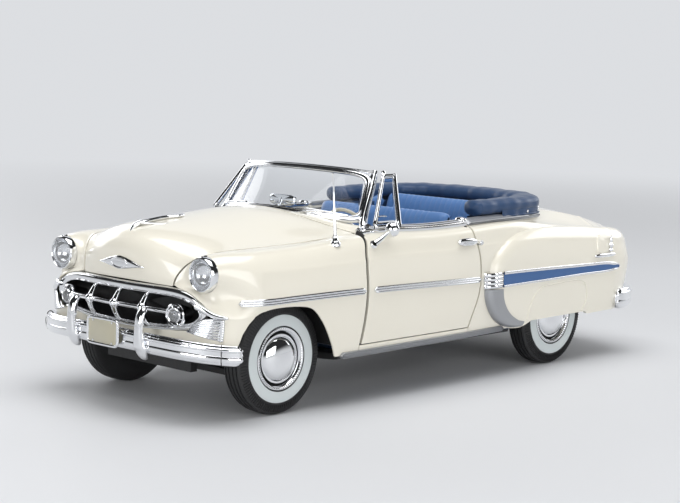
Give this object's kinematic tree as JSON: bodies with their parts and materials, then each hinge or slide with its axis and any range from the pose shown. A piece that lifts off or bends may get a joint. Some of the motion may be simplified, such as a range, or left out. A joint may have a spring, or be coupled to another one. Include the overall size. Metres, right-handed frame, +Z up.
{
  "type": "die-cast scale model convertible car",
  "caption": "Open-top 1950s family car as a tabletop scale model, with opening doors, hood and trunk, steered front wheels and rolling tyres.",
  "frame": {"origin": "on the ground under the middle of the model's length", "axes": "+X to the front, +Y to the model's left side, +Z up"},
  "size_m": [0.2761, 0.1068, 0.0861],
  "materials": {
    "cream_paint": "gloss",
    "blue_trim": "satin moulded",
    "blue_trim_dark": "satin moulded",
    "clear_glazing": "clear",
    "red_lens": "gloss",
    "tyre_rubber": "matte",
    "satin_silver": "satin",
    "black_underbody": "satin",
    "cabin_plastic": "satin",
    "plate_yellow": "gloss",
    "ivory_plastic": "gloss",
    "chrome_plating": "polished"
  },
  "bodies": {
    "car": {"antenna": "chrome_plating", "body_shell": "cream_paint", "chassis_plate": "black_underbody", "cockpit_moulding": "chrome_plating", "dashboard": "cabin_plastic", "engine": "satin_silver", "engine_bay": "black_underbody", "exhaust": "black_underbody", "front_bumper": "chrome_plating", "front_seat": "blue_trim", "front_suspension": "black_underbody", "grille_bars": "chrome_plating", "grille_surround": "chrome_plating", "headlight_lenses": "clear_glazing", "headlight_rims": "chrome_plating", "interior_floor": "cabin_plastic", "licence_plates": "plate_yellow", "parking_lamps": "chrome_plating", "parking_lenses": "clear_glazing", "radiator": "black_underbody", "rear_axle_housing": "black_underbody", "rear_bumper": "chrome_plating", "rear_seat": "blue_trim", "rear_view_mirror": "chrome_plating", "rocker_mouldings": "chrome_plating", "side_strips": "chrome_plating", "spear_frames": "chrome_plating", "spear_inserts": "blue_trim_dark", "steering_column": "cabin_plastic", "stone_guards": "satin_silver", "tail_lamps": "chrome_plating", "tail_lenses": "red_lens", "top_boot": "blue_trim_dark", "windshield_frame": "chrome_plating", "windshield_glass": "clear_glazing"},
    "left_door": {"door_left": "cream_paint", "door_card_left": "blue_trim_dark", "door_trim_left": "chrome_plating", "vent_frame_left": "chrome_plating", "vent_glass_left": "clear_glazing", "door_mirror": "chrome_plating"},
    "right_door": {"door_right": "cream_paint", "door_card_right": "blue_trim_dark", "door_trim_right": "chrome_plating", "vent_frame_right": "chrome_plating", "vent_glass_right": "clear_glazing"},
    "hood_panel": {"hood": "cream_paint", "hood_ornament": "chrome_plating"},
    "trunk_panel": {"trunk_lid": "cream_paint", "trunk_handle": "chrome_plating"},
    "left_knuckle": {"knuckle_left": "satin_silver"},
    "right_knuckle": {"knuckle_right": "satin_silver"},
    "left_front_wheel": {"tyre_front_left": "tyre_rubber", "rim_front_left": "chrome_plating"},
    "right_front_wheel": {"tyre_front_right": "tyre_rubber", "rim_front_right": "chrome_plating"},
    "rear_wheels": {"rear_axle": "satin_silver", "rear_tyres": "tyre_rubber", "rear_rims": "chrome_plating"},
    "hand_wheel": {"steering_wheel": "ivory_plastic"}
  },
  "joints": [
    {"name": "left_door_swing", "type": "hinge", "parent": "car", "child": "left_door", "pos_m": [0.0539, 0.0493, 0.0228], "axis": [0, 0, -1], "range_deg": [0, 60]},
    {"name": "right_door_swing", "type": "hinge", "parent": "car", "child": "right_door", "pos_m": [0.0539, -0.0493, 0.0228], "axis": [0, 0, 1], "range_deg": [0, 60]},
    {"name": "hood_lift", "type": "hinge", "parent": "car", "child": "hood_panel", "pos_m": [0.042, 0, 0.0575], "axis": [0, -1, 0], "range_deg": [0, 45]},
    {"name": "trunk_lift", "type": "hinge", "parent": "car", "child": "trunk_panel", "pos_m": [-0.0786, 0, 0.0656], "axis": [0, 1, 0], "range_deg": [0, 45]},
    {"name": "left_steer", "type": "hinge", "parent": "car", "child": "left_knuckle", "pos_m": [0.0926, 0.033, 0.0203], "axis": [0, 0, 1], "range_deg": [-25, 25]},
    {"name": "right_steer", "type": "hinge", "parent": "car", "child": "right_knuckle", "pos_m": [0.0926, -0.033, 0.0203], "axis": [0, 0, 1], "range_deg": [-25, 25]},
    {"name": "hand_wheel_turn", "type": "hinge", "parent": "car", "child": "hand_wheel", "pos_m": [0.0291, 0.018, 0.05752], "axis": [-0.9135, 0, 0.4067], "range_deg": [-100, 100]},
    {"name": "left_front_roll", "type": "hinge", "parent": "left_knuckle", "child": "left_front_wheel", "pos_m": [0.0926, 0.04, 0.0203], "axis": [0, 1, 0], "continuous": true},
    {"name": "right_front_roll", "type": "hinge", "parent": "right_knuckle", "child": "right_front_wheel", "pos_m": [0.0926, -0.04, 0.0203], "axis": [0, 1, 0], "continuous": true},
    {"name": "rear_roll", "type": "hinge", "parent": "car", "child": "rear_wheels", "pos_m": [-0.0697, 0, 0.0203], "axis": [0, 1, 0], "continuous": true}
  ],
  "couplings": [
    {"joint": "right_steer", "follows": "left_steer", "ratio": 1}
  ]
}
